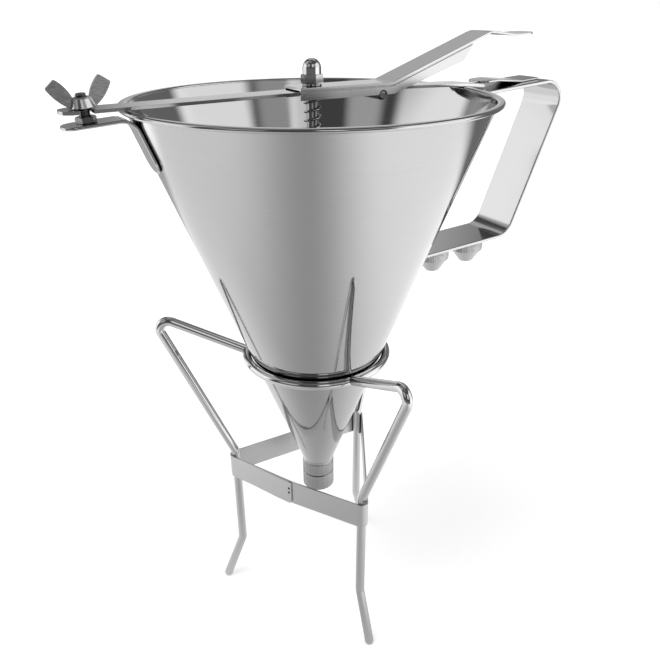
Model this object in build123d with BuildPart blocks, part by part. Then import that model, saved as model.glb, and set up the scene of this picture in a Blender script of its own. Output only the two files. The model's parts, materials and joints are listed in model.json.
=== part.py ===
from build123d import *
import math
import os

os.makedirs("parts", exist_ok=True)

# Frame: the funnel's axis is Z, the floor is Z = 0, and the handle points along +X. Millimetres.

# Gaps between pieces
weld_gap = 0.05  # hairline of a welded or screwed joint
fit_gap = 0.08  # radial play of a pin, rod or thread in its hole
run_gap = 0.3  # pieces that move past each other
seat_gap = 0.2  # the closed stopper above its seat

# Wire stand
wire_d = 5.6
ring_wire_d = 5.0
ring_r = 41.5  # to the middle of its wire
ring_z = 184.4
loop_r = 98.0  # corner where an arm meets its slanting wire
loop_rise = 24.4  # the same corner above the ring
loop_bend_r = 5.5
leg_r = 53.7
leg_bend_r = 8.0
shoulder_rise = 2.5  # bend of a wire above the band
knee_z = 36.2
foot_r = 66.0
foot_flat = 0.4  # ground off under each foot
band_z = 91.4
band_h = 16.2
band_t = 1.0
seam_bow = 2.2  # the band's seam stands out from its side
seam_shift = 1.8  # the same from the middle of its side
lap_set = 0.6  # end of the lap past the seam's bend
lap_len = 10.0  # the band's ends overlap
lap_ramp = 36.0
lap_corner_r = 2.2
weld_dot_d = 1.7
weld_dot_depth = 0.7
weld_dot_pitch = 3.2
weld_dot_inset = 1.6  # from the end of the lap
weld_dot_drop = 6.4  # from the band's upper edge to the middle of the two
stand_turn = 30.0  # the rear wire from the handle's side
stand_wires = ("stand_wire_rear", "stand_wire_left", "stand_wire_front")

# Funnel
cone_half_angle = 20.4
sheet_t = 0.8
rim_d = 190.0  # over the rolled lip
lip_w = 3.9
lip_t = 2.1
neck_d = 19.6
neck_len = 2.0
neck_bend_r = 4.0

# Outlet, nozzles and stopper
collar_d = 19.8
collar_h = 8.5
collar_chamfer = 0.2
spigot_h = 3.0  # the socket's upper end, inside the neck
thread_d = 16.0
thread_len = 7.5
outlet_d = 10.0
seat_mouth_d = 15.0
nozzle_d = 19.8
nozzle_h = 11.9  # of the wide nozzle on the outlet
nozzle_skirt_h = 10.6
nozzle_tip_d = 16.6
nozzle_throat_h = 1.5
nozzle_bore = 8.0
spare_h = 14.8  # of the two pointed spare nozzles
spare_skirt_h = 7.2
spare_tip_d = 9.0
spare_bores = (6.0, 4.0)
groove_h = 0.4
stopper_d = 13.0
stopper_nose_d = 8.4
stopper_h = 9.0
stopper_chamfer = 1.5
rod_d = 6.0
rod_socket_depth = 5.5

# Crossbar
bar_w = 15.0
bar_t = 1.5
bar_lift = 2.05  # under the bar, above the lip, on the stud's side
bar_rest = 0.2  # the same over the lip on the handle's side
bar_bend_x = 27.0
bar_dip = 1.2  # the stud's end, drawn down by the wing nut
bar_dip_x = -5.0  # where that slope begins
bar_end_fall = 0.08  # steeper slope past the rim
bar_end_out = 11.4  # full width, past the rim
bar_tab_len = 3.0
bar_tab_w = 10.0
bar_corner_r = 6.0

# Bracket, stud and nuts
strap_t = 2.0
bracket_w = 15.0
bracket_t = 1.5
bracket_drop = 2.55  # top of the tab, at the stud, below the middle of the lip
tab_tilt_angle = 4.0  # the tab falls outwards
bracket_bend_r = 8.0
bracket_len = 24.0  # height of the welded leg
bracket_end_r = 6.0
stud_d = 5.0
stud_out = 15.7  # foot of the stud from the rim's edge
stud_to_tab_end = 11.0
stud_to_bar_end = 11.0
stud_above_tab = 12.3
jam_nut_af = 8.0
jam_nut_h = 2.7
wing_hub_d = 11.0
wing_hub_top_d = 8.2
wing_hub_h = 4.3
wing_hub_r = 1.0  # round upper edge of the hub
wing_span = 27.0  # over the outer corners of the wings
wing_corner_h = 9.1  # the same corners above the nut's foot
wing_side_span = 20.4  # middle of the bowed outer edges
wing_side_h = 4.2
wing_tip_span = 18.4  # over the upper corners
wing_tip_h = 12.4
wing_inner_span = 13.0  # middle of the bowed inner edges
wing_inner_h = 9.8
wing_throat_span = 6.6  # where the inner edges meet the hub
wing_throat_h = 3.6
wing_foot_h = 0.2  # lower end of the wings' outer edges
wing_t = 2.4
wing_tip_r = 0.8
nut_gap = 0.1  # a nut above the face that it clamps
nut_turn_angle = 30.0
stud_end_chamfer = 0.6

# Thumb lever
lever_t = 1.2
lever_gap = 0.5  # under the lever's plate, above the bar
lever_tail = 11.0  # past the rod
lever_flange = 5.75
lever_rise_angle = 19.6
lever_rise_run = 65.0
lever_bend_r = 7.0
lever_edge_r = 0.25
seam_h = 0.9  # groove between the lever's plate and its channel
seam_depth = 0.5
flange_bend_run = 7.0  # from the pin to the bend of the flanges' lower edge
flange_end_run = 46.6  # lower corner of the flanges past the lever's bend
flange_end_depth = 7.3  # the same corner under the lever's plate
flange_end_lean = 7.0
pad_len = 33.0
pad_dip = 2.2  # lowest place of the dished pad below its bend
pad_dip_run = 18.0
pad_end_drop = 1.4  # end of the pad below its bend
pad_bend_r = 14.0
pad_dish_r = 34.0
pad_corner_r = 5.0
pin_x = 37.0
pin_d = 5.0
pin_inset = 0.3  # its ends inside the lever's flanges
pin_end_r = 1.2
pin_to_bend = 5.5
lever_swing = 8.0  # full travel of the lever

# Cap nut, spring and its collar
cap_af = 10.0
cap_collar_d = 9.6  # turned collar under the hexagon
cap_collar_h = 0.9
cap_hex_h = 4.5
cap_hex_turn = 22.0
cap_dome_d = 9.3
cap_h = 12.8
cap_thread_depth = 9.0
spring_d = 9.0
spring_wire = 1.0
spring_len = 56.0
spring_turn_count = 12  # open turns
spring_end_gap = 0.45  # between the closed turns at each end
spring_seat_gap = 0.15  # at each end of the spring
collar_ring_d = 12.0
collar_ring_h = 5.0
collar_ring_chamfer = 0.5

# Handle
handle_w = 30.0
handle_drop = 0.95  # top of the handle's upper plate below the lip
handle_reach = 71.5  # from the rim's edge to the upper corner
handle_height = 91.4  # between its corners
handle_lean = 21.5
handle_top_tilt = 4.4
handle_foot_tilt = 3.0
handle_top_r = 11.0
handle_foot_r = 12.0
clip_w = 16.0
clip_t = 1.2
clip_tip_out = 9.7  # tip of the clip past the rim
clip_len = 30.0  # from the tip to where it meets the handle
clip_crest_run = 12.0  # from the tip to the crest
clip_arch = 0.6  # crest above the tip
clip_base_len = 13.0
clip_bend_r = 16.0
clip_root_r = 5.0
clip_tip_r = 6.0
clip_edge_r = 0.5
spare_space = 7.2  # between the two spare nozzles
spare_inset = 14.3  # from the cone to the first spare nozzle

# Worked out from the sizes above
half_angle = math.radians(cone_half_angle)
cone_slope = math.tan(half_angle)
wire_r = wire_d / 2
ring_wire_r = ring_wire_d / 2
rim_r = rim_d / 2
neck_r = neck_d / 2
rod_r = rod_d / 2
stud_r = stud_d / 2
pin_r = pin_d / 2
lip_top_r = rim_r - lip_w + sheet_t / math.cos(half_angle)
seat_r = ring_r - (ring_wire_r + run_gap) / math.cos(half_angle)
rim_z = ring_z + (lip_top_r - seat_r) / cone_slope
lip_top = rim_z + lip_t / 2
neck_top = rim_z - (lip_top_r - neck_r) / cone_slope
collar_top = neck_top - neck_len
collar_foot = collar_top - collar_h
band_top = band_z + band_h


def cone_r(z):
    """Outer radius of the cone at a height."""
    return lip_top_r - (rim_z - z) * cone_slope


def upright(angle):
    """Plane through the axis, with its x outwards at the angle and its y up."""
    a = math.radians(angle)
    return Plane((0, 0, 0), x_dir=(math.cos(a), math.sin(a), 0), z_dir=(math.sin(a), -math.cos(a), 0))


# Stand: a ring, three bent wires and a band round their legs
with BuildPart() as stand_ring:
    with Locations((0, 0, ring_z)):
        Torus(ring_r, ring_wire_r)


def stand_wire(angle):
    """One wire: out from the ring, round the loop, down inside the band and out to its foot."""
    foot_z = wire_r - foot_flat
    plane = upright(angle)
    with BuildPart() as wire:
        with BuildLine(plane) as route:
            FilletPolyline(
                (ring_r, ring_z),
                (loop_r, ring_z + loop_rise),
                (leg_r, band_top + shoulder_rise),
                (leg_r, knee_z),
                (foot_r, foot_z),
                radius=[loop_bend_r, leg_bend_r, leg_bend_r],
            )
        with BuildSketch(route.line ^ 0):
            Circle(wire_r)
        sweep(path=route.line)
        with Locations(plane.from_local_coords((foot_r, foot_z, 0))):
            Sphere(wire_r)
        with Locations((0, 0, ring_z)):
            Torus(ring_r, ring_wire_r + weld_gap, mode=Mode.SUBTRACT)
        split(bisect_by=Plane.XY, keep=Keep.TOP)
    return wire


wire_step = 360 / len(stand_wires)
wire_angles = [stand_turn + wire_step * i for i in range(len(stand_wires))]
wires = [stand_wire(angle) for angle in wire_angles]

# The band's seam: its left end runs on over the other, a little out of line
band_inner_r = wire_r + weld_gap
band_outer_r = band_inner_r + band_t
lap_angle = (wire_angles[1] + wire_angles[2]) / 2
lap_side = Plane.XY.rotated((0, 0, lap_angle))
side_r = leg_r * math.cos(math.radians(wire_step / 2))
half_side = leg_r * math.sin(math.radians(wire_step / 2))
seam_middle = lap_side.from_local_coords(Vector(side_r + seam_bow, seam_shift, 0))
lap_along = (lap_side.from_local_coords(Vector(side_r, -half_side, 0)) - seam_middle).normalized()
lap_out = Vector(0, 0, 1).cross(lap_along)
lap_root_r = band_outer_r - band_t / 2
seam_foot = seam_middle + lap_out * lap_root_r + lap_along * lap_set + Vector(0, 0, band_z)
lap_plan = Plane(seam_foot, x_dir=lap_along, z_dir=(0, 0, 1))
lap_front = Plane(seam_foot, x_dir=lap_along, z_dir=lap_out)
lap_build = band_t / 2 + band_t  # from the middle of the strip under the lap to the face of the lap
with BuildPart() as stand_band:
    for radius, mode in ((band_outer_r, Mode.ADD), (band_inner_r, Mode.SUBTRACT)):
        with BuildSketch(Plane.XY.offset(band_z)):
            with PolarLocations(leg_r, len(wire_angles), start_angle=stand_turn):
                Circle(radius)
            with Locations(seam_middle):
                Circle(radius)
            make_hull()
        extrude(amount=band_h, mode=mode)
    with BuildSketch(lap_plan):
        with BuildLine():
            Polyline((lap_len, 0), (lap_len, lap_build), (lap_len + lap_ramp, 0), close=True)
        make_face()
    extrude(amount=band_h)
    with BuildSketch(lap_front) as lap_end:
        Rectangle(lap_len, band_h, align=(Align.MIN, Align.MAX))
        fillet(lap_end.vertices().group_by(Axis.X)[0], radius=lap_corner_r)
    extrude(amount=lap_build)
    with BuildSketch(lap_front.offset(lap_build)):
        with Locations((weld_dot_inset, weld_dot_drop - band_h)):
            with GridLocations(0, weld_dot_pitch, 1, 2):
                Circle(weld_dot_d / 2)
    extrude(amount=-weld_dot_depth, mode=Mode.SUBTRACT)

# Funnel: one spun sheet, from the rolled lip to the neck
wall_shift = sheet_t / 2 / math.cos(half_angle)
neck_wall_r = neck_r - sheet_t / 2
neck_corner = rim_z - (lip_top_r - wall_shift - neck_wall_r) / cone_slope
with BuildPart() as funnel_shell:
    with BuildSketch(Plane.XZ):
        with BuildLine():
            FilletPolyline(
                (neck_wall_r, collar_top + weld_gap),
                (neck_wall_r, neck_corner),
                (lip_top_r - wall_shift, rim_z),
                radius=neck_bend_r,
            )
        trace(line_width=sheet_t)
        with Locations((rim_r - lip_w / 2, rim_z)):
            SlotOverall(lip_w, lip_t)
    revolve(axis=Axis.Z)

# Outlet socket: spigot in the neck, knurled collar, threaded end, and a conical seat for the stopper
spigot_r = neck_r - sheet_t - weld_gap
thread_foot = collar_foot - thread_len
seat_z = collar_top + spigot_h
seat_depth = (seat_mouth_d - outlet_d) / 2
with BuildPart() as outlet_socket:
    with BuildSketch(Plane.XZ):
        with BuildLine():
            Polyline(
                (seat_mouth_d / 2, seat_z),
                (spigot_r, seat_z),
                (spigot_r, collar_top),
                (collar_d / 2 - collar_chamfer, collar_top),
                (collar_d / 2, collar_top - collar_chamfer),
                (collar_d / 2, collar_foot + collar_chamfer),
                (collar_d / 2 - collar_chamfer, collar_foot),
                (thread_d / 2, collar_foot),
                (thread_d / 2, thread_foot),
                (outlet_d / 2, thread_foot),
                (outlet_d / 2, seat_z - seat_depth),
                close=True,
            )
        make_face()
    revolve(axis=Axis.Z)


def nozzle_on(plane, bore, height, skirt_h, tip_d):
    """A screw-on nozzle whose top face lies on the plane."""
    skirt_r = thread_d / 2 + fit_gap
    floor = -(thread_len - groove_h + run_gap)
    rim_out = nozzle_d / 2
    with BuildPart() as piece:
        with BuildSketch(Plane(plane.origin, x_dir=plane.x_dir, z_dir=-plane.y_dir)):
            with BuildLine():
                Polyline(
                    (skirt_r, 0),
                    (rim_out - collar_chamfer, 0),
                    (rim_out, -collar_chamfer),
                    (rim_out, -skirt_h),
                    (tip_d / 2, -height),
                    (bore / 2, -height),
                    (bore / 2, floor - nozzle_throat_h),
                    (outlet_d / 2, floor),
                    (skirt_r, floor),
                    close=True,
                )
            make_face()
        revolve(axis=Axis(plane.origin, plane.z_dir))
    return piece


nozzle_seat = Plane.XY.offset(collar_foot - groove_h)
nozzle = nozzle_on(nozzle_seat, nozzle_bore, nozzle_h, nozzle_skirt_h, nozzle_tip_d)

# Handle: one bent strap, welded to the cone
top_tilt = math.radians(handle_top_tilt)
foot_tilt = math.radians(handle_foot_tilt)
handle_corner_x = rim_r + handle_reach
plate_z = lip_top - lip_t - handle_drop - strap_t / 2 / math.cos(top_tilt)
handle_corner_z = plate_z + handle_reach * math.tan(top_tilt)
foot_corner_x = handle_corner_x - handle_height * math.tan(math.radians(handle_lean))
foot_corner_z = handle_corner_z - handle_height
inner_x = rim_r - lip_w - strap_t


def upper_plate(x):
    """Middle of the handle's upper plate."""
    return (x, plate_z + (x - rim_r) * math.tan(top_tilt))


def lower_plate(x):
    """Middle of the handle's lower plate."""
    return (x, foot_corner_z + (x - foot_corner_x) * math.tan(foot_tilt))


foot_cone_r = cone_r(lower_plate(foot_corner_x)[1])
bar_foot = lip_top + bar_lift
bar_top = bar_foot + bar_t
bar_fall = (bar_lift - bar_rest) / (rim_r - lip_w / 2 - bar_bend_x)
stud_x = -(rim_r + stud_out)


def bar_drop(x):
    """How far the bar has come down at a place past one of its bends."""
    towards_stud = max(0.0, bar_dip_x - x) * bar_dip / (bar_dip_x - stud_x)
    return towards_stud + max(0.0, x - bar_bend_x) * bar_fall + max(0.0, x - rim_r) * bar_end_fall


with BuildPart() as handle:
    with BuildSketch(Plane.XZ):
        with BuildLine():
            FilletPolyline(
                upper_plate(inner_x),
                (handle_corner_x, handle_corner_z),
                (foot_corner_x, foot_corner_z),
                lower_plate(foot_cone_r - handle_w / 2),
                radius=[handle_top_r, handle_foot_r],
            )
        trace(line_width=strap_t)
    extrude(amount=handle_w / 2, both=True)
    with BuildSketch(Plane.XZ):
        with BuildLine():
            Polyline(
                (0, rim_z),
                (cone_r(rim_z) + weld_gap, rim_z),
                (neck_r + weld_gap, neck_top),
                (0, neck_top),
                close=True,
            )
        make_face()
    revolve(axis=Axis.Z, mode=Mode.SUBTRACT)

# Clip welded on the handle's upper plate, which holds the bar's end down
clip_tip_x = rim_r + clip_tip_out
clip_root_x = clip_tip_x + clip_len
clip_tip_z = bar_top - bar_drop(clip_tip_x) + run_gap + clip_t / 2
clip_lift = (strap_t + clip_t) / 2 / math.cos(top_tilt) + weld_gap


def on_plate(x):
    """Middle of the clip where it lies on the upper plate."""
    return (x, upper_plate(x)[1] + clip_lift)


with BuildPart() as bar_clip:
    with BuildSketch(Plane.XZ):
        with BuildLine():
            FilletPolyline(
                (clip_tip_x, clip_tip_z),
                (clip_tip_x + clip_crest_run, clip_tip_z + clip_arch),
                on_plate(clip_root_x),
                on_plate(clip_root_x + clip_base_len),
                radius=[clip_bend_r, clip_root_r],
            )
        trace(line_width=clip_t)
    extrude(amount=clip_w / 2, both=True)
    tip_corners = bar_clip.edges().filter_by(lambda e: e.length < clip_t + fit_gap).group_by(Axis.X)[0]
    fillet(tip_corners, radius=clip_tip_r)
    tip_top = bar_clip.faces().sort_by(Axis.X)[0].edges().sort_by(Axis.Z)[-1]
    fillet(tip_top, radius=clip_edge_r)

# Two spare nozzles, screwed on studs under the handle's lower plate
plate_up = (-math.sin(foot_tilt), 0, math.cos(foot_tilt))
plate_out = (math.cos(foot_tilt), 0, math.sin(foot_tilt))


def under_plate(x):
    """Plane on the underside of the lower plate, with its z up through the plate."""
    middle = lower_plate(x)
    below = Vector(middle[0], 0, middle[1]) - Vector(plate_up) * (strap_t / 2 + weld_gap)
    return Plane(below, x_dir=plate_out, z_dir=plate_up)


def storage_stud(plane):
    """A threaded stud welded under the plate."""
    with BuildPart() as stud:
        with BuildSketch(plane):
            Circle(thread_d / 2)
        extrude(amount=-(thread_len - groove_h))
    return stud


first_spare_x = foot_cone_r + spare_inset + nozzle_d / 2
spare_seats = [under_plate(first_spare_x + i * (nozzle_d + spare_space)) for i in range(len(spare_bores))]
storage_studs = [storage_stud(seat) for seat in spare_seats]
spare_nozzles = [
    nozzle_on(seat.offset(-groove_h), bore, spare_h, spare_skirt_h, spare_tip_d)
    for seat, bore in zip(spare_seats, spare_bores)
]

# Bracket on the stud's side: a tab that falls a little outwards, and a leg welded down the cone
tab_tilt = math.radians(tab_tilt_angle)
tab_top = rim_z - bracket_drop
tab_z = tab_top - bracket_t / 2 / math.cos(tab_tilt)
stud_base = Vector(stud_x, 0, tab_top)
stud_up = Vector(-math.sin(tab_tilt), 0, math.cos(tab_tilt))
stud_seat = Plane(stud_base, x_dir=(math.cos(tab_tilt), 0, math.sin(tab_tilt)), z_dir=stud_up)
stud_side = Plane(stud_base, x_dir=stud_seat.x_dir, z_dir=(0, -1, 0))
stud_axis = Axis(stud_base, stud_up)
leg_shift = (bracket_t / 2 + weld_gap) / math.cos(half_angle)


def tab_middle(x):
    """Middle of the tab's thickness."""
    return (x, tab_z + (x - stud_x) * math.tan(tab_tilt))


def leg_middle(z):
    """Middle of the leg's thickness, along the cone."""
    return (-cone_r(z) - leg_shift, z)


level_x = leg_middle(tab_z)[0]
tab_root = tab_middle(stud_x + (level_x - stud_x) / (1 + cone_slope * math.tan(tab_tilt)))
with BuildPart() as bracket:
    with BuildSketch(Plane.XZ):
        with BuildLine():
            FilletPolyline(
                tab_middle(stud_x - stud_to_tab_end * math.cos(tab_tilt)),
                tab_root,
                leg_middle(tab_z - bracket_len),
                radius=bracket_bend_r,
            )
        trace(line_width=bracket_t)
    extrude(amount=bracket_w / 2, both=True)
    corners = bracket.edges().filter_by(lambda e: e.length < bracket_t + fit_gap)
    fillet(corners, radius=bracket_end_r)
    with BuildSketch(stud_seat):
        Circle(stud_r + weld_gap)
    extrude(amount=2 * bracket_t, both=True, mode=Mode.SUBTRACT)

with BuildPart() as bracket_stud:
    with BuildSketch(stud_seat.offset(-bracket_t)):
        Circle(stud_r)
    extrude(amount=bracket_t + stud_above_tab)
    chamfer(bracket_stud.faces().sort_by(stud_axis)[-1].edges(), length=stud_end_chamfer)


def hex_block(seat, af, height, turn=0):
    """A hexagon with turned corners, standing on a plane."""
    corner_r = af / math.sqrt(3)
    turned_r = af / 2
    turn_h = (corner_r - turned_r) * math.tan(math.radians(nut_turn_angle))
    with BuildPart() as block:
        with BuildSketch(seat):
            RegularPolygon(turned_r, 6, major_radius=False, rotation=turn)
        extrude(amount=height)
        with BuildSketch(Plane(seat.origin, x_dir=seat.x_dir, z_dir=-seat.y_dir)):
            with BuildLine():
                Polyline(
                    (0, 0),
                    (turned_r, 0),
                    (corner_r, turn_h),
                    (corner_r, height - turn_h),
                    (turned_r, height),
                    (0, height),
                    close=True,
                )
            make_face()
        revolve(axis=Axis(seat.origin, seat.z_dir), mode=Mode.INTERSECT)
    return block


jam_nut_block = hex_block(stud_seat.offset(weld_gap), jam_nut_af, jam_nut_h)
with BuildPart() as jam_nut:
    add(jam_nut_block.part)
    with BuildSketch(stud_seat):
        Circle(stud_r + weld_gap)
    extrude(amount=2 * jam_nut_h, mode=Mode.SUBTRACT)

# Crossbar: a flat bar from the stud to the clip, bent a little down to both ends
bar_z = bar_top - bar_t / 2
bar_left = stud_x - stud_to_bar_end
bar_shoulder = rim_r + bar_end_out
bar_right = bar_shoulder + bar_tab_len
notch_w = stud_d + 2 * run_gap
notch_x = stud_x - (bar_z - bar_dip - tab_top) * math.tan(tab_tilt)
with BuildPart() as crossbar:
    with BuildSketch(Plane.XZ):
        with BuildLine():
            Polyline(*[(x, bar_z - bar_drop(x)) for x in (bar_left, bar_dip_x, bar_bend_x, rim_r, bar_right)])
        trace(line_width=bar_t)
    extrude(amount=bar_w / 2, both=True)
    bar_corners = crossbar.edges().filter_by(lambda e: e.length < bar_t + fit_gap)
    fillet(bar_corners.group_by(Axis.X)[0], radius=bar_corner_r)
    with BuildSketch(Plane.XY.offset(bar_z)):
        Circle(rod_r + fit_gap)
        with Locations((notch_x, 0)):
            Circle(notch_w / 2)
        with Locations((notch_x, -bar_w / 2)):
            Rectangle(notch_w, bar_w)
        with Locations(*[((bar_shoulder + bar_right) / 2 + bar_t, side * bar_w / 2) for side in (-1, 1)]):
            Rectangle(bar_tab_len + 2 * bar_t, bar_w - bar_tab_w)
    extrude(amount=bar_w, both=True, mode=Mode.SUBTRACT)

# Wing nut, square to the leaning stud, its hub just clear of the bar
hub_lean = wing_hub_d / 2 * math.tan(tab_tilt)
wing_foot = (bar_top - bar_dip - tab_top) / math.cos(tab_tilt) + hub_lean + nut_gap


def wing_point(side, span, height):
    """A place on the wings' outline, on one side of the stud."""
    return (side * span / 2, wing_foot + height)


def wing_outline(side):
    """Edges of one wing, from its foot on the hub round the tip to its throat."""
    foot = wing_point(side, wing_hub_d, wing_foot_h)
    corner = wing_point(side, wing_span, wing_corner_h)
    tip = wing_point(side, wing_tip_span, wing_tip_h)
    throat = wing_point(side, wing_throat_span, wing_throat_h)
    ThreePointArc(foot, wing_point(side, wing_side_span, wing_side_h), corner)
    Line(corner, tip)
    ThreePointArc(tip, wing_point(side, wing_inner_span, wing_inner_h), throat)


with BuildPart() as wing_nut:
    with BuildSketch(stud_side):
        with BuildLine():
            wing_outline(-1)
            wing_outline(1)
            Line(*[wing_point(side, wing_throat_span, wing_throat_h) for side in (-1, 1)])
            Line(*[wing_point(side, wing_hub_d, wing_foot_h) for side in (-1, 1)])
        make_face()
    extrude(amount=wing_t / 2, both=True)
    wing_corners = wing_nut.edges().filter_by(Axis.Y).group_by(stud_axis)[-2:]
    fillet(wing_corners[0] + wing_corners[1], radius=wing_tip_r)
    with BuildSketch(stud_side):
        with BuildLine():
            FilletPolyline(
                (0, wing_foot),
                (wing_hub_d / 2, wing_foot),
                (wing_hub_top_d / 2, wing_foot + wing_hub_h),
                (0, wing_foot + wing_hub_h),
                radius=[wing_foot_h, wing_hub_r],
            )
            Line((0, wing_foot + wing_hub_h), (0, wing_foot))
        make_face()
    revolve(axis=stud_axis)
    with BuildSketch(stud_seat):
        Circle(stud_r + fit_gap)
    extrude(amount=2 * stud_above_tab, mode=Mode.SUBTRACT)

# Pivot pin, welded across the bar's underside
bar_slope = math.atan(bar_fall)
pin_z = bar_foot - bar_drop(pin_x) - (pin_r + weld_gap) / math.cos(bar_slope)
lever_w = bar_w + 2 * run_gap + 2 * lever_t
pin_len = lever_w - 2 * pin_inset
with BuildPart() as pivot_pin:
    with BuildSketch(Plane.XZ):
        with Locations((pin_x, pin_z)):
            Circle(pin_r)
    extrude(amount=pin_len / 2, both=True)
    fillet(pivot_pin.edges().filter_by(GeomType.CIRCLE), radius=pin_end_r)

# Thumb lever: a dished plate for the thumb, on a channel over the bar that is notched on the pin
lever_z = bar_top + lever_gap + lever_t / 2
lever_top = lever_z + lever_t / 2
lever_bend_x = pin_x + pin_to_bend
lever_rise = math.radians(lever_rise_angle)
pad_x = lever_bend_x + lever_rise_run
pad_z = lever_z + lever_rise_run * math.tan(lever_rise)
pad_dip_x = pad_x + pad_dip_run
pad_end_x = pad_x + pad_len
swing = math.radians(lever_swing)
lever_shift = pin_x * (1 - math.cos(swing)) + (lever_top - pin_z) * math.sin(swing)


def lever_mid(x):
    """Height of the middle of the lever's plate, before its bends are rounded."""
    if x < lever_bend_x:
        return lever_z
    if x < pad_x:
        return lever_z + (x - lever_bend_x) * math.tan(lever_rise)
    if x < pad_dip_x:
        return pad_z - pad_dip * (x - pad_x) / pad_dip_run
    return pad_z - pad_dip + (pad_dip - pad_end_drop) * (x - pad_dip_x) / (pad_end_x - pad_dip_x)


flange_foot = lever_top - lever_flange
flange_end_x = lever_bend_x + flange_end_run
flange_top_x = flange_end_x + flange_end_lean
notch_r = pin_r + fit_gap
seam_drop = (lever_t + seam_h) / 2
rod_slot_w = 2 * (rod_r + run_gap)
with BuildPart() as lever:
    with BuildSketch(Plane.XZ):
        with BuildLine():
            FilletPolyline(
                (-lever_tail, lever_z),
                (lever_bend_x, lever_z),
                (pad_x, pad_z),
                (pad_dip_x, lever_mid(pad_dip_x)),
                (pad_end_x, lever_mid(pad_end_x)),
                radius=[lever_bend_r, pad_bend_r, pad_dish_r],
            )
        trace(line_width=lever_t)
    extrude(amount=lever_w / 2, both=True)
    pad_corners = lever.edges().filter_by(lambda e: e.length < lever_t + fit_gap)
    fillet(pad_corners.group_by(Axis.X)[-1], radius=pad_corner_r)
    sides = lever.edges().filter_by(lambda e: abs(abs(e.center().Y) - lever_w / 2) < fit_gap)
    fillet(sides.filter_by(lambda e: e.center().Z > lever_mid(e.center().X) + fit_gap), radius=lever_edge_r)
    with BuildSketch(Plane.XZ.offset(lever_w / 2 - lever_t), Plane.XZ.offset(-lever_w / 2)):
        with BuildLine():
            Polyline(
                (-lever_tail, lever_z),
                (-lever_tail, flange_foot),
                (pin_x + flange_bend_run, flange_foot),
                (flange_end_x, lever_mid(flange_end_x) - flange_end_depth),
                (flange_top_x, lever_mid(flange_top_x)),
                (lever_bend_x, lever_z),
                close=True,
            )
        make_face()
        with Locations((pin_x, pin_z)):
            Circle(notch_r, mode=Mode.SUBTRACT)
        with Locations((pin_x, pin_z - lever_flange / 2)):
            Rectangle(2 * notch_r, lever_flange, mode=Mode.SUBTRACT)
    extrude(amount=lever_t)
    with BuildSketch(Plane.XZ.offset(lever_w / 2 - seam_depth), Plane.XZ.offset(-lever_w / 2)):
        with BuildLine():
            FilletPolyline(
                (-lever_tail - lever_t, lever_z - seam_drop),
                (lever_bend_x + seam_drop * math.tan(lever_rise / 2), lever_z - seam_drop),
                (pad_x + seam_drop * math.sin(lever_rise), pad_z - seam_drop * math.cos(lever_rise)),
                radius=lever_bend_r + seam_drop,
            )
        trace(line_width=seam_h)
    extrude(amount=seam_depth, mode=Mode.SUBTRACT)
    with BuildSketch(Plane.XY.offset(lever_z)):
        with Locations((-lever_shift / 2, 0)):
            SlotOverall(rod_slot_w + lever_shift, rod_slot_w)
    extrude(amount=lever_t, both=True, mode=Mode.SUBTRACT)

# Piston rod with its cap nut, spring collar and stopper
cap_foot = lever_top + nut_gap
stopper_lift = seat_gap * math.sqrt(2)
nose_z = seat_z - (seat_mouth_d - stopper_nose_d) / 2 + stopper_lift
stopper_z = seat_z - (seat_mouth_d - stopper_d) / 2 + stopper_lift
stopper_top = stopper_z + stopper_h
rod_foot = stopper_top - rod_socket_depth
rod_top = cap_foot + cap_thread_depth - weld_gap
with BuildPart() as stopper:
    with BuildSketch(Plane.XZ):
        with BuildLine():
            Polyline(
                (0, nose_z),
                (stopper_nose_d / 2, nose_z),
                (stopper_d / 2, stopper_z),
                (stopper_d / 2, stopper_top - stopper_chamfer),
                (stopper_d / 2 - stopper_chamfer, stopper_top),
                (rod_r + weld_gap, stopper_top),
                (rod_r + weld_gap, rod_foot - weld_gap),
                (0, rod_foot - weld_gap),
                close=True,
            )
        make_face()
    revolve(axis=Axis.Z)

with BuildPart() as piston_rod:
    with BuildSketch(Plane.XY.offset(rod_foot)):
        Circle(rod_r)
    extrude(amount=rod_top - rod_foot)

cap_hex = hex_block(Plane.XY.offset(cap_foot + cap_collar_h), cap_af, cap_hex_h, cap_hex_turn)
dome_r = cap_dome_d / 2
cap_top = cap_foot + cap_h
with BuildPart() as cap_nut:
    add(cap_hex.part)
    with BuildSketch(Plane.XZ):
        with BuildLine():
            Line((0, cap_foot), (dome_r, cap_foot))
            Line((dome_r, cap_foot), (dome_r, cap_top - dome_r))
            RadiusArc((dome_r, cap_top - dome_r), (0, cap_top), -dome_r)
            Line((0, cap_top), (0, cap_foot))
        make_face()
    revolve(axis=Axis.Z)
    with BuildSketch(Plane.XY.offset(cap_foot)):
        Circle(cap_collar_d / 2)
    extrude(amount=cap_collar_h)
    with BuildSketch(Plane.XY.offset(cap_foot)):
        Circle(rod_r + weld_gap)
    extrude(amount=cap_thread_depth, mode=Mode.SUBTRACT)

spring_top = bar_foot - spring_seat_gap
spring_foot = spring_top - spring_len
with BuildPart() as spring_collar:
    with BuildSketch(Plane.XY.offset(spring_foot - spring_seat_gap - collar_ring_h)):
        Circle(collar_ring_d / 2)
        Circle(rod_r + weld_gap, mode=Mode.SUBTRACT)
    extrude(amount=collar_ring_h)
    rims = spring_collar.edges().filter_by(GeomType.CIRCLE).filter_by(lambda e: e.radius > rod_r + fit_gap)
    chamfer(rims, length=collar_ring_chamfer)

# Return spring: a closed turn at each end, joined by the open turns
coil_r = (spring_d - spring_wire) / 2
end_pitch = spring_wire + spring_end_gap
open_pitch = (spring_len - spring_wire - 2 * end_pitch) / spring_turn_count
quarter = math.pi / 2
quarter_count = 4  # in a turn
quarters = quarter_count * (spring_turn_count + 2)


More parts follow.
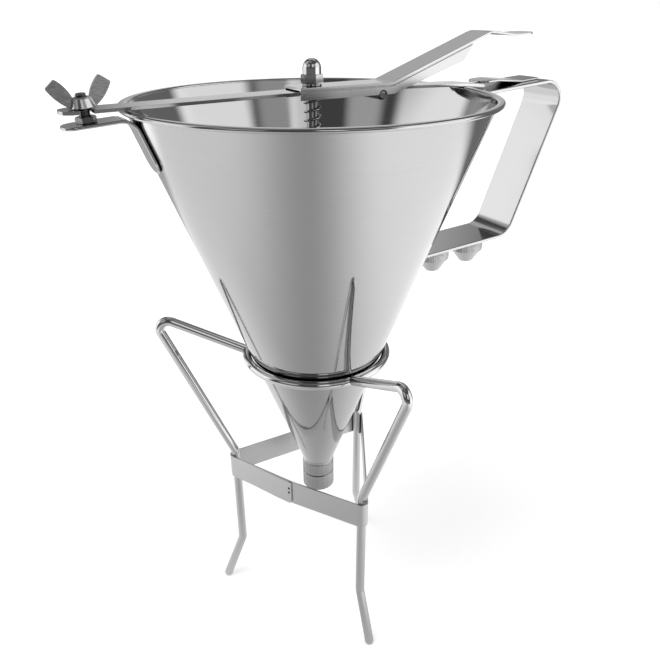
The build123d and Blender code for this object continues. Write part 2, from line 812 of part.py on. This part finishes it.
def coil_rise(i):
    """Rise of the wire in a quarter turn."""
    closed = i < quarter_count or i >= quarters - quarter_count
    return (end_pitch if closed else open_pitch) / quarter_count


def coil_node(i):
    """Place and direction of the wire after a number of quarter turns."""
    z = spring_foot + spring_wire / 2 + sum(coil_rise(k) for k in range(i))
    climb = (coil_rise(max(i - 1, 0)) + coil_rise(min(i, quarters - 1))) / 2 / quarter
    across, along = math.cos(i * quarter), math.sin(i * quarter)
    place = Vector(coil_r * across, coil_r * along, z)
    return place, Vector(-coil_r * along, coil_r * across, climb).normalized()


def biarc_joint(start, start_dir, end, end_dir):
    """Where two arcs of equal tangents meet, and their direction there."""
    chord = end - start
    both = start_dir + end_dir
    reach = chord.dot(both)
    bend = both.dot(both) - 4
    length = (reach - math.sqrt(reach * reach - bend * chord.dot(chord))) / bend
    first = start + start_dir * length
    last = end - end_dir * length
    return (first + last) * 0.5, (last - first).normalized()


def least_gap(points, apart):
    """Least distance between the faces of turns, from points along the wire."""
    near = min((p - q).length for i, p in enumerate(points) for q in points[i + apart :])
    return near - spring_wire


with BuildPart() as return_spring:
    with BuildLine() as coil:
        begin, begin_dir = coil_node(0)
        Line(begin - begin_dir * spring_wire, begin)
        for i in range(quarters):
            start, start_dir = coil_node(i)
            end, end_dir = coil_node(i + 1)
            joint, joint_dir = biarc_joint(start, start_dir, end, end_dir)
            TangentArc(start, joint, tangent=start_dir)
            TangentArc(joint, end, tangent=joint_dir)
        finish, finish_dir = coil_node(quarters)
        Line(finish, finish + finish_dir * spring_wire)
    with BuildSketch(coil.line ^ 0):
        Circle(spring_wire / 2)
    sweep(path=coil.line)

sample_count = 24  # in a turn
wire_steps = sample_count * quarters // quarter_count
wire_points = [coil.line @ (k / wire_steps) for k in range(wire_steps + 1)]
print("least gap between the spring's turns:", round(least_gap(wire_points, sample_count // 2), 2), "mm")

# Every finished piece, under the name of its node
pieces = {
    "stand_ring": stand_ring,
    "stand_band": stand_band,
    "funnel_shell": funnel_shell,
    "outlet_socket": outlet_socket,
    "nozzle": nozzle,
    "handle": handle,
    "bar_clip": bar_clip,
    "bracket": bracket,
    "bracket_stud": bracket_stud,
    "jam_nut": jam_nut,
    "wing_nut": wing_nut,
    "crossbar": crossbar,
    "pivot_pin": pivot_pin,
    "lever": lever,
    "cap_nut": cap_nut,
    "piston_rod": piston_rod,
    "spring_collar": spring_collar,
    "return_spring": return_spring,
    "stopper": stopper,
}
pieces.update(zip(stand_wires, wires))
pieces.update(zip(("storage_stud_inner", "storage_stud_outer"), storage_studs))
pieces.update(zip(("spare_nozzle_inner", "spare_nozzle_outer"), spare_nozzles))
for name, piece in pieces.items():
    piece.part.label = name
    export_step(piece.part, f"parts/{name}.step")
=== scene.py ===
import json
import math

import bmesh
import bpy
from mathutils import Matrix, Vector


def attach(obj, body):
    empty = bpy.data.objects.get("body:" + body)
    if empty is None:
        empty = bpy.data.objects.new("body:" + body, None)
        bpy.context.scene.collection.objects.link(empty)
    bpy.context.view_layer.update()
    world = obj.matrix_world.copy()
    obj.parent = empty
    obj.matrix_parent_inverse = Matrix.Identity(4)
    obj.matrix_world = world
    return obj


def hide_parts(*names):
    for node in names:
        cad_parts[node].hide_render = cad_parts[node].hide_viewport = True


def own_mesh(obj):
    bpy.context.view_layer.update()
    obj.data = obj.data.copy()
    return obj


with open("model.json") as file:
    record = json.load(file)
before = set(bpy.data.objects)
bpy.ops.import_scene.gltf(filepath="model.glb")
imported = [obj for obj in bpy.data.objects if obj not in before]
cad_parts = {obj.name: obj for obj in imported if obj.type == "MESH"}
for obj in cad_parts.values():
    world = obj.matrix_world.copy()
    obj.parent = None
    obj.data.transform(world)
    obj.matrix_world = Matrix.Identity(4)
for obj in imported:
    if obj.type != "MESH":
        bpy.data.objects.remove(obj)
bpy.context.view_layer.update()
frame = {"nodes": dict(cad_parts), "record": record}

nodes = frame["nodes"]
joints = {joint["name"]: joint for joint in frame["record"]["behaviour"]["joints"]}
UP = Vector((0, 0, 1))

# Camera, at the photograph's angle: metres and radians
IMAGE_PX = 660
FOCAL_PX = 658.8
SENSOR_MM = 36.0
CAMERA_OUT = 0.34976  # from the funnel's axis
CAMERA_HIGH = 0.37172
AXIS_BEARING = 0.49  # of the axis seen from the camera, from +Y towards +X
CAMERA_YAW = 0.0236
CAMERA_PITCH = 0.4618
CAMERA_ROLL = 0.0058
CLIP_NEAR = 0.01
HEADING = AXIS_BEARING + CAMERA_YAW

# Studio: soft panels round the object, by bearing from the camera's heading and by height, in degrees
ROOM_LEVEL = 0.08
PANELS = (
    {"bearing": 104, "half": 27, "low": -45, "high": 8, "level": 1.45},
    {"bearing": 97, "half": 30, "low": 8, "high": 44, "level": 1.15},
    {"bearing": -78, "half": 30, "low": -45, "high": 6, "level": 1.12},
    {"bearing": -79, "half": 31, "low": 6, "high": 27, "level": 1.22},
    {"bearing": -84, "half": 25, "low": 27, "high": 60, "level": 0.45},
    {"bearing": -138, "half": 13, "low": 14, "high": 44, "level": 0.46},
    {"bearing": 149, "half": 14, "low": 14, "high": 46, "level": 0.36},
    {"bearing": 168, "half": 5, "low": 14, "high": 46, "level": 0.85},
    {"bearing": -34, "half": 10, "low": 4, "high": 18, "level": 0.35},
    {"bearing": -34, "half": 24, "low": -45, "high": -5, "level": 0.40},
    {"bearing": 0, "half": 16, "low": -6, "high": 9, "level": 0.68},
    {"bearing": -4, "half": 14, "low": 9, "high": 50, "level": 0.46},
    {"bearing": 10, "half": 50, "low": 50, "high": 72, "level": 0.45},
    {"bearing": -120, "half": 70, "low": 64, "high": 84, "level": 0.18},
    {"bearing": 45, "half": 30, "low": -45, "high": 34, "level": 0.12},
    {"bearing": 180, "half": 60, "low": -60, "high": -4, "level": 0.14},
)
PANEL_EDGE = 6.0  # softness of a panel's edge
WHITE = (1.0, 1.0, 1.0, 1.0)

# Floor
FLOOR_SIZE = 60.0
FLOOR_TONE = (0.86, 0.86, 0.86)
FLOOR_FILL = 0.42  # glow that brings the plain floor up to white
FLOOR_MIRRORED = 0.88  # the same floor in a reflection
SHADE_DEPTH = 0.47  # how dim the floor in front of the stand is in a reflection
SHADE_WIDE = 0.21  # from its middle to where about a third of it is left
SHADE_LEFT = 0.02  # its middle, left of the axis
SHADE_BACK = 0.10  # it ends this far behind the axis, and is full this far in front
RIGHT_GAIN = 0.22  # how much brighter the floor on the right is in a reflection
RIGHT_FAR = 0.30  # from the shade's middle to where it is brightest
TABLE_NEAR = 0.62  # the metal sees the floor up to here, and the studio's sides beyond
TABLE_FAR = 0.80  # the floor has faded from the metal here

# Lamps: bearing from the camera's heading and height in degrees, spread in radians, strength in W/m2
LAMPS = {
    "key_lamp": {"bearing": -125, "height": 62, "spread": 0.7, "strength": 1.2},
    "fill_lamp": {"bearing": 110, "height": 50, "spread": 0.9, "strength": 0.6},
}

# Steel
STREAK_DETAIL = 3.0
SMUDGE_SCALE = 28.0  # smudges in a metre
SMUDGE_DETAIL = 4.0
NOISE_SPAN = (0.3, 0.7)  # values of streaks and smudges lie mostly between these
TONE_SWING = 0.03  # share by which they change the tone
SHEARED_LOOK = (0.7, 0.95)  # how squarely a sheared face looks along Y, from not at all to fully
LEAST_ROUGH = 0.02
CREVICE_SHADE_REACH = 0.0016  # painted shade darkens seams and joints this close
CREVICE_SHADE_TONE = 0.25
CREVICE_OPEN = (0.30, 0.80)  # share of open sky, from darkest to plain
CREVICE_RAYS = 8

# Details, in metres and degrees
SPRING_WIRE = 0.001
SPRING_TURNS = 14  # with one closed turn at each end
SPRING_CLOSED_PITCH = 0.00145
SPRING_STEPS = 40  # in a turn
SPRING_SIDES = 14
SPRING_OPENS = 0.75  # turns from an end to where the coil starts to open
SPRING_EASE = 0.5  # turns over which it opens
EDGE_ANGLE = 35.0  # edges sharper than this are rounded
FLAT_ANGLE = 0.2  # faces flatter than this to each other are one face
JOIN_REACH = 2e-6  # points closer than this are one point
EDGE_STEPS = 2
EDGE_SOFT = {  # width of the broken edges
    "bar_clip": 0.0003, "crossbar": 0.0003, "lever": 0.0002, "bracket": 0.0005,
    "jam_nut": 0.0002, "cap_nut": 0.0002, "stand_band": 0.0002,
}
HANDLE_SOFT = 0.0007  # how far its long edges are rounded
HANDLE_STEPS = 3
HANDLE_PROFILE = 0.5  # a round section
HANDLE_SIDE_LEAN = 0.99  # its side faces look along Y at least this squarely
HANDLE_FACE_LEAN = 0.05  # its broad faces look along Y less than this
HANDLE_FREE_X = 0.096  # the upper plate comes out from under the lip here
HANDLE_UPPER_Z = 0.3  # the upper plate lies above this, the lower one below
LIP_WIDE = 0.0039  # section of the rolled lip
LIP_THICK = 0.0021
LIP_COVER = 0.00003  # the smooth lip over the plain one
LIP_STEPS = 288
LIP_SIDES = 16  # round each edge of the lip
THREAD_PITCH = 0.0008
THREAD_DEPTH = 0.00045
THREAD_STEPS = 10  # in a pitch
THREAD_SIDES = 48
STUD_CHAMFER = 0.0006
KNURL_RIBS = 64
KNURL_WAVE = (0.0, 0.35, 1.0, 1.0, 0.35, 0.0)  # height over one rib
KNURL_DEPTH = 0.00022
KNURL_SINK = 0.00006  # valleys lie just under the turned face
KNURL_EDGE = 0.0005  # run-out of the ribs at each end


class Graph:
    """Short words for building one node tree."""

    def __init__(self, tree):
        tree.nodes.clear()
        self.tree = tree

    def feed(self, socket, value):
        if isinstance(value, bpy.types.NodeSocket):
            self.tree.links.new(value, socket)
        else:
            socket.default_value = value

    def add(self, kind, inputs=None, **settings):
        node = self.tree.nodes.new(kind)
        for name, value in settings.items():
            setattr(node, name, value)
        for name, value in (inputs or {}).items():
            self.feed(node.inputs[name], value)
        return node

    def math(self, operation, *values):
        node = self.add("ShaderNodeMath", operation=operation)
        for socket, value in zip(node.inputs, values):
            self.feed(socket, value)
        return node.outputs[0]

    def vector(self, operation, *values):
        node = self.add("ShaderNodeVectorMath", operation=operation)
        for socket, value in zip(node.inputs, values):
            self.feed(socket, value)
        return node.outputs["Value" if operation == "DOT_PRODUCT" else "Vector"]

    def split(self, value):
        return self.add("ShaderNodeSeparateXYZ", {"Vector": value}).outputs

    def noise(self, place, scale, detail):
        inputs = {"Vector": place, "Scale": scale, "Detail": detail}
        return self.add("ShaderNodeTexNoise", inputs).outputs["Fac"]

    def spread(self, value, from_low, from_high, to_low=0.0, to_high=1.0, smooth=False):
        kind = "SMOOTHSTEP" if smooth else "LINEAR"
        inputs = {
            "Value": value, "From Min": from_low, "From Max": from_high, "To Min": to_low, "To Max": to_high,
        }
        return self.add("ShaderNodeMapRange", inputs, interpolation_type=kind).outputs["Result"]


def compass(degrees):
    """Level direction at a bearing from the camera's heading."""
    angle = HEADING + math.radians(degrees)
    return Vector((math.sin(angle), math.cos(angle), 0))


def add_camera():
    data = bpy.data.cameras.new("camera")
    data.sensor_width = SENSOR_MM
    data.lens = FOCAL_PX / IMAGE_PX * SENSOR_MM
    data.clip_start = CLIP_NEAR
    camera = bpy.data.objects.new("camera", data)
    bpy.context.collection.objects.link(camera)
    place = Vector((-math.sin(AXIS_BEARING), -math.cos(AXIS_BEARING), 0)) * CAMERA_OUT + UP * CAMERA_HIGH
    turn = Matrix.Rotation(-HEADING, 4, "Z")
    tilt = Matrix.Rotation(math.pi / 2 - CAMERA_PITCH, 4, "X")
    roll = Matrix.Rotation(-CAMERA_ROLL, 4, "Z")
    camera.matrix_world = Matrix.Translation(place) @ turn @ tilt @ roll
    bpy.context.scene.camera = camera


def edge_span(degrees, wave):
    """Sine or cosine at both sides of a panel's soft edge."""
    return [wave(math.radians(degrees + side * PANEL_EDGE)) for side in (-1, 1)]


def panel_mask(graph, level_way, height, panel):
    """1 on a soft panel, 0 off it."""
    facing = graph.vector("DOT_PRODUCT", level_way, compass(panel["bearing"]))
    narrow, wide = edge_span(panel["half"], math.cos)
    across = graph.spread(facing, wide, narrow, smooth=True)
    above = graph.spread(height, *edge_span(panel["low"], math.sin), smooth=True)
    below = graph.spread(height, *edge_span(panel["high"], math.sin), 1.0, 0.0, True)
    return graph.math("MULTIPLY", across, graph.math("MULTIPLY", above, below))


def add_world():
    world = bpy.data.worlds.new("studio")
    world.use_nodes = True
    graph = Graph(world.node_tree)
    way = graph.add("ShaderNodeTexCoord").outputs["Generated"]
    height = graph.split(way)["Z"]
    level_way = graph.vector("NORMALIZE", graph.vector("MULTIPLY", way, (1, 1, 0)))
    level = ROOM_LEVEL
    for panel in PANELS:
        glow = graph.math("MULTIPLY", panel_mask(graph, level_way, height, panel), panel["level"])
        level = graph.math("ADD", level, glow)
    room = graph.add("ShaderNodeBackground", {"Color": WHITE, "Strength": level})
    backdrop = graph.add("ShaderNodeBackground", {"Color": WHITE, "Strength": 1.0})
    seen = graph.add("ShaderNodeLightPath").outputs["Is Camera Ray"]
    mix = graph.add("ShaderNodeMixShader", {"Fac": seen})
    graph.feed(mix.inputs[1], room.outputs[0])
    graph.feed(mix.inputs[2], backdrop.outputs[0])
    graph.add("ShaderNodeOutputWorld", {"Surface": mix.outputs[0]})
    bpy.context.scene.world = world


def floor_material():
    """Pale floor: white to the eye, with the object's shadow. The metal sees it shaded and fading out."""
    material = bpy.data.materials.new("pale_floor")
    material.use_nodes = True
    graph = Graph(material.node_tree)
    path = graph.add("ShaderNodeLightPath").outputs
    place = graph.add("ShaderNodeTexCoord").outputs["Object"]
    across = graph.math("ADD", graph.vector("DOT_PRODUCT", place, compass(90)), SHADE_LEFT)
    along = graph.vector("DOT_PRODUCT", place, compass(0))
    beside = graph.math("DIVIDE", across, SHADE_WIDE)
    hump = graph.math("EXPONENT", graph.math("MULTIPLY", graph.math("MULTIPLY", beside, beside), -1.0))
    front = graph.spread(along, SHADE_BACK, -SHADE_BACK, smooth=True)
    shade = graph.math("MULTIPLY", graph.math("MULTIPLY", hump, front), SHADE_DEPTH)
    gain = graph.spread(across, 0.0, RIGHT_FAR, 0.0, RIGHT_GAIN, True)
    change = graph.math("SUBTRACT", graph.math("ADD", gain, FLOOR_MIRRORED - 1.0), shade)
    clear = graph.math("ADD", 1.0, graph.math("MULTIPLY", change, path["Is Glossy Ray"]))
    seen = graph.math("MAXIMUM", path["Is Camera Ray"], path["Is Glossy Ray"])
    tone = graph.vector("SCALE", FLOOR_TONE)
    graph.feed(tone.node.inputs["Scale"], clear)
    paint = graph.add("ShaderNodeBsdfDiffuse", {"Color": tone})
    strength = graph.math("MULTIPLY", graph.math("MULTIPLY", seen, clear), FLOOR_FILL)
    glow = graph.add("ShaderNodeEmission", {"Color": WHITE, "Strength": strength})
    both = graph.add("ShaderNodeAddShader")
    graph.feed(both.inputs[0], paint.outputs[0])
    graph.feed(both.inputs[1], glow.outputs[0])
    reach = graph.add("ShaderNodeVectorMath", {0: place}, operation="LENGTH").outputs["Value"]
    beyond = graph.spread(reach, TABLE_NEAR, TABLE_FAR, smooth=True)
    open_air = graph.add("ShaderNodeBsdfTransparent")
    table = graph.add("ShaderNodeMixShader", {"Fac": graph.math("MULTIPLY", beyond, path["Is Glossy Ray"])})
    graph.feed(table.inputs[1], both.outputs[0])
    graph.feed(table.inputs[2], open_air.outputs[0])
    graph.add("ShaderNodeOutputMaterial", {"Surface": table.outputs[0]})
    return material


def add_floor():
    mesh = bpy.data.meshes.new("floor")
    half = FLOOR_SIZE / 2
    corners = [(-half, -half, 0), (half, -half, 0), (half, half, 0), (-half, half, 0)]
    mesh.from_pydata(corners, [], [(0, 1, 2, 3)])
    mesh.materials.append(floor_material())
    floor = bpy.data.objects.new("floor", mesh)
    bpy.context.collection.objects.link(floor)


def add_lamp(name, bearing, height, spread, strength):
    """A wide soft lamp far away, which lights the floor evenly."""
    data = bpy.data.lights.new(name, "SUN")
    data.angle = spread
    data.energy = strength
    lamp = bpy.data.objects.new(name, data)
    bpy.context.collection.objects.link(lamp)
    rise = math.radians(height)
    towards = compass(bearing) * math.cos(rise) + UP * math.sin(rise)
    lamp.location = towards
    lamp.rotation_euler = towards.to_track_quat("Z", "Y").to_euler()
    lamp.visible_glossy = False


def steel(name, tone, roughness, streak, streak_depth, smudge=0.03, side_rough=0.0):
    """Neutral steel with polishing streaks and painted shade in seams and joints: streak is their scale per
    metre along X, Y and Z.

    side_rough is added on faces that look along Y, which are sheared and not polished.
    """
    material = bpy.data.materials.new(name)
    material.use_nodes = True
    graph = Graph(material.node_tree)
    place = graph.add("ShaderNodeTexCoord").outputs["Object"]
    stretched = graph.vector("MULTIPLY", place, streak)
    lines = graph.noise(stretched, 1.0, STREAK_DETAIL)
    cloud = graph.noise(place, SMUDGE_SCALE, SMUDGE_DETAIL)
    swings = [graph.spread(noise, *NOISE_SPAN, -1.0, 1.0) for noise in (lines, cloud)]
    shift = graph.math("ADD", *swings)
    rough = graph.math("ADD", roughness, graph.math("MULTIPLY", shift, smudge))
    looks = graph.split(graph.add("ShaderNodeNewGeometry").outputs["Normal"])["Y"]
    sheared = graph.spread(graph.math("ABSOLUTE", looks), *SHEARED_LOOK, 0.0, side_rough)
    rough = graph.math("ADD", rough, sheared)
    shade = graph.spread(shift, -2.0, 2.0, tone * (1 - TONE_SWING), tone * (1 + TONE_SWING))
    # painted shade: the colour darkens in seams and joints, where little sky is open
    crevice = graph.add("ShaderNodeAmbientOcclusion", {"Distance": CREVICE_SHADE_REACH}, samples=CREVICE_RAYS)
    painted_crevice_shade = graph.spread(crevice.outputs["AO"], *CREVICE_OPEN, CREVICE_SHADE_TONE, 1.0, True)
    shade = graph.math("MULTIPLY", shade, painted_crevice_shade)
    colour = graph.add("ShaderNodeCombineColor", {"Red": shade, "Green": shade, "Blue": shade}).outputs[0]
    bump = graph.add("ShaderNodeBump", {"Height": lines, "Strength": 1.0, "Distance": streak_depth})
    inputs = {
        "Base Color": colour, "Metallic": 1.0, "Roughness": graph.math("MAXIMUM", rough, LEAST_ROUGH),
        "Normal": bump.outputs[0],
    }
    shader = graph.add("ShaderNodeBsdfPrincipled", inputs)
    graph.add("ShaderNodeOutputMaterial", {"Surface": shader.outputs[0]})
    return material


# Finishes: tone, roughness, streaks in a metre along X, Y and Z, and their depth in metres
STEELS = {
    "funnel_steel": steel("funnel_steel_finish", 0.54, 0.07, (30, 30, 2200), 4e-7),
    "strap_steel": steel("strap_steel_finish", 0.60, 0.13, (30, 4200, 30), 1e-6),
    "wire_steel": steel("wire_steel_finish", 0.68, 0.06, (500, 500, 500), 6e-7),
    "band_steel": steel("band_steel_finish", 0.70, 0.36, (30, 30, 3600), 2e-6),
    "turned_steel": steel("turned_steel_finish", 0.46, 0.16, (120, 120, 5000), 2e-6),
    "fastener_steel": steel("fastener_steel_finish", 0.64, 0.09, (700, 700, 700), 1e-6),
    "rod_steel": steel("rod_steel_finish", 0.60, 0.14, (60, 60, 4000), 1e-6),
    "spring_steel": steel("spring_steel_finish", 0.52, 0.20, (700, 700, 700), 1e-6),
}

OWN_FINISHES_AND_SHADES = {
    "lever": steel("lever_finish", 0.60, 0.13, (30, 4200, 30), 1e-6, side_rough=0.12),
    "wing_nut": steel("cast_wing_finish", 0.60, 0.22, (300, 300, 2600), 2e-6, smudge=0.05),
    # painted shade: the jam nut is coloured dark for the shadow it sits in
    "jam_nut": steel("painted_shade_nut", 0.24, 0.16, (700, 700, 700), 1e-6),
    # painted shade: the pin is coloured dark for the shade of the notch it sits in
    "pivot_pin": steel("painted_shade_pin", 0.22, 0.22, (900, 900, 900), 1e-6),
}


def finish_and_shade_nodes():
    """Each node of the frame takes its own finish, or that of its material slot; the own colours of the jam
    nut and the pivot pin are painted shade.
    """
    for name, node in nodes.items():
        for slot in node.material_slots:
            slot.material = OWN_FINISHES_AND_SHADES.get(name) or STEELS[slot.material.name.split(".")[0]]


def soften_edges():
    """Cut and stamped edges are broken, so they catch the light."""
    for name, width in EDGE_SOFT.items():
        modifiers = nodes[name].modifiers
        weld = modifiers.new("joined_faces", "WELD")
        weld.merge_threshold = JOIN_REACH
        flat = modifiers.new("whole_faces", "DECIMATE")
        flat.decimate_type = "DISSOLVE"
        flat.angle_limit = math.radians(FLAT_ANGLE)
        bevel = modifiers.new("soft_edges", "BEVEL")
        bevel.width = width
        bevel.segments = EDGE_STEPS
        bevel.limit_method = "ANGLE"
        bevel.angle_limit = math.radians(EDGE_ANGLE)
        modifiers.new("even_normals", "WEIGHTED_NORMAL")


def skin(rings, looped=False):
    """Points and faces of a surface through rings of equal count, closed by end faces or into a loop."""
    count = len(rings[0])
    points = [point for ring in rings for point in ring]
    spans = [(r * count, (r + 1) % len(rings) * count) for r in range(len(rings) - (0 if looped else 1))]
    faces = []
    for a, b in spans:
        for i in range(count):
            j = (i + 1) % count
            faces.append((a + i, a + j, b + j, b + i))
    if not looped:
        faces.append(tuple(range(count - 1, -1, -1)))
        faces.append(tuple(range(len(points) - count, len(points))))
    return points, faces


def add_piece(name, body, slot_name, points, faces, twin=None):
    """A smooth mesh piece that rides on a body, with the finish of its slot, or the colour of a twin node,
    which for the jam nut is a painted shade tone.
    """
    mesh = bpy.data.meshes.new(name)
    mesh.from_pydata(points, [], faces)
    mesh.materials.append(OWN_FINISHES_AND_SHADES.get(twin) or STEELS[slot_name])
    mesh.polygons.foreach_set("use_smooth", [len(face) == 4 for face in faces])
    piece = bpy.data.objects.new(name, mesh)
    bpy.context.collection.objects.link(piece)
    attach(piece, body)
    return piece


def add_handle():
    """The handle with its long edges rounded. Its ends lie against the rim and the cone, and stay as cut."""
    shape = bmesh.new()
    shape.from_mesh(nodes["handle"].data)
    bmesh.ops.remove_doubles(shape, verts=shape.verts, dist=JOIN_REACH)
    bmesh.ops.dissolve_limit(
        shape, angle_limit=math.radians(FLAT_ANGLE), verts=shape.verts[:], edges=shape.edges[:]
    )
    upper = [face for face in shape.faces if face.calc_center_median().z > HANDLE_UPPER_Z]
    around = dict.fromkeys(part for face in upper for part in (*face.verts, *face.edges))
    bmesh.ops.bisect_plane(
        shape, geom=[*around, *upper], dist=JOIN_REACH, plane_co=(HANDLE_FREE_X, 0, 0), plane_no=(1, 0, 0)
    )
    shape.normal_update()
    long_edges = []
    for edge in shape.edges:
        leans = sorted(abs(face.normal.y) for face in edge.link_faces)
        out = min(vertex.co.x for vertex in edge.verts) > HANDLE_FREE_X - JOIN_REACH
        below = max(vertex.co.z for vertex in edge.verts) < HANDLE_UPPER_Z
        if leans[0] < HANDLE_FACE_LEAN and leans[-1] > HANDLE_SIDE_LEAN and (out or below):
            long_edges.append(edge)
    bmesh.ops.bevel(
        shape, geom=long_edges, offset=HANDLE_SOFT, offset_type="OFFSET", segments=HANDLE_STEPS,
        profile=HANDLE_PROFILE, affect="EDGES", clamp_overlap=False,
    )
    shape.normal_update()
    for face in shape.faces:
        face.smooth = True
    for edge in shape.edges:
        edge.smooth = edge.calc_face_angle(0.0) < math.radians(EDGE_ANGLE)
    mesh = bpy.data.meshes.new("strap_handle")
    shape.to_mesh(mesh)
    shape.free()
    mesh.materials.clear()
    mesh.materials.append(STEELS["strap_steel"])
    strap = bpy.data.objects.new("strap_handle", mesh)
    bpy.context.collection.objects.link(strap)
    even = strap.modifiers.new("even_normals", "WEIGHTED_NORMAL")
    even.keep_sharp = True
    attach(strap, "funnel")
    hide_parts("handle")


def measure(node, axis):
    """Of a round node: a level frame on its axis, its lower and upper end along it, and its radius."""
    side = axis.orthogonal().normalized()
    across = axis.cross(side)
    spans = []
    for way in (side, across, axis):
        reach = [vertex.co.dot(way) for vertex in nodes[node].data.vertices]
        spans.append((min(reach), max(reach)))
    middle = side * sum(spans[0]) / 2 + across * sum(spans[1]) / 2
    return (middle, side, across, axis), spans[2][0], spans[2][1], (spans[0][1] - spans[0][0]) / 2


def on_axis(frame_axes, radius, angle, height):
    """A point at a radius, angle and height about an axis."""
    middle, side, across, axis = frame_axes
    return middle + side * radius * math.cos(angle) + across * radius * math.sin(angle) + axis * height


def turn_steps(count):
    return [2 * math.pi * i / count for i in range(count)]


def add_lip():
    """The funnel's rolled lip, drawn finer."""
    axes, _, top, radius = measure("funnel_shell", UP)
    half = LIP_THICK / 2
    outer, inner = radius - half, radius - LIP_WIDE + half
    outline = []
    for centre, start in ((outer, -math.pi / 2), (inner, math.pi / 2)):
        for k in range(LIP_SIDES + 1):
            angle = start + math.pi * k / LIP_SIDES
            reach = half + LIP_COVER
            outline.append((centre + reach * math.cos(angle), top - half + reach * math.sin(angle)))
    rings = [[on_axis(axes, r, angle, z) for r, z in outline] for angle in turn_steps(LIP_STEPS)]
    add_piece("rolled_lip", "funnel", "funnel_steel", *skin(rings, looped=True))


def add_spring():
    """The return spring's coil, drawn finer."""
    axes, low, high, radius = measure("return_spring", UP)
    coil_r = radius - SPRING_WIRE / 2
    steps = SPRING_TURNS * SPRING_STEPS
    open_share = []
    for k in range(steps):
        turn = (k + 0.5) / SPRING_STEPS
        inside = min(turn, SPRING_TURNS - turn)
        ease = min(max(inside - SPRING_OPENS, 0.0) / SPRING_EASE, 1.0)
        open_share.append(ease * ease * (3 - 2 * ease))
    closed_rise = SPRING_CLOSED_PITCH / SPRING_STEPS
    open_rise = (high - low - SPRING_WIRE - closed_rise * steps) / sum(open_share)
    heights = [low + SPRING_WIRE / 2]
    for share in open_share:
        heights.append(heights[-1] + closed_rise + open_rise * share)
    rings = []
    for k, height in enumerate(heights):
        angle = 2 * math.pi * k / SPRING_STEPS
        outwards = (on_axis(axes, 1.0, angle, 0) - axes[0]).normalized()
        centre = on_axis(axes, coil_r, angle, height)
        ways = [outwards * math.cos(a) + UP * math.sin(a) for a in turn_steps(SPRING_SIDES)]
        rings.append([centre + way * SPRING_WIRE / 2 for way in ways])
    spring = add_piece("spring_coil", "funnel", "spring_steel", *skin(rings))
    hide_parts("return_spring")
    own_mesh(spring)


def add_stud_thread():
    """The bracket's stud with its thread cut."""
    axes, low, high, radius = measure("bracket_stud", Vector(joints["wing_nut_turn"]["axis"]).normalized())
    steps = round((high - low) / THREAD_PITCH * THREAD_STEPS)
    rings = []
    for k in range(steps + 1):
        height = low + (high - low) * k / steps
        end_r = radius - max(0.0, STUD_CHAMFER - (high - height))
        ring = []
        for angle in turn_steps(THREAD_SIDES):
            phase = (height / THREAD_PITCH - angle / (2 * math.pi)) % 1
            ring.append(on_axis(axes, min(end_r, radius - THREAD_DEPTH * abs(2 * phase - 1)), angle, height))
        rings.append(ring)
    # painted shade: the stud takes the jam nut's dark colour for the dark surroundings it reflects
    stud = add_piece("threaded_stud", "funnel", "fastener_steel", *skin(rings), twin="jam_nut")
    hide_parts("bracket_stud")


def add_knurl(name, body, axes, radius, low, high):
    """A sleeve of straight ribs on a turned face."""
    waves = [wave * KNURL_DEPTH for wave in KNURL_WAVE] * KNURL_RIBS
    angles = turn_steps(len(waves))
    base = radius - KNURL_SINK
    rings = []
    for height, rise in ((low, 0.0), (low + KNURL_EDGE, 1.0), (high - KNURL_EDGE, 1.0), (high, 0.0)):
        rings.append([on_axis(axes, base + rise * wave, angle, height) for wave, angle in zip(waves, angles)])
    for height in (high, low):
        rings.append([on_axis(axes, base - KNURL_SINK, angle, height) for angle in angles])
    add_piece(name, body, "turned_steel", *skin(rings, looped=True))


def add_knurls():
    """Ribs on the widest face of the collar and of each nozzle."""
    grips = {"nozzle": "nozzle", "outlet_socket": "funnel"}
    grips.update({name: name for name in ("spare_nozzle_inner", "spare_nozzle_outer")})
    for node, body in grips.items():
        off = joints.get(node + "_off")
        axis = -Vector(off["axis"]).normalized() if off else UP
        axes, _, _, radius = measure(node, axis)
        middle = axes[0]
        wide = []
        for vertex in nodes[node].data.vertices:
            height = vertex.co.dot(axis)
            if (vertex.co - middle - axis * height).length > radius - KNURL_SINK:
                wide.append(height)
        add_knurl(node + "_knurl", body, axes, radius, min(wide), max(wide))


add_camera()
add_world()
add_floor()
for lamp_name, lamp in LAMPS.items():
    add_lamp(lamp_name, **lamp)
finish_and_shade_nodes()
soften_edges()
add_handle()
add_lip()
add_spring()
add_stud_thread()
add_knurls()
bpy.context.scene.view_settings.view_transform = "Standard"
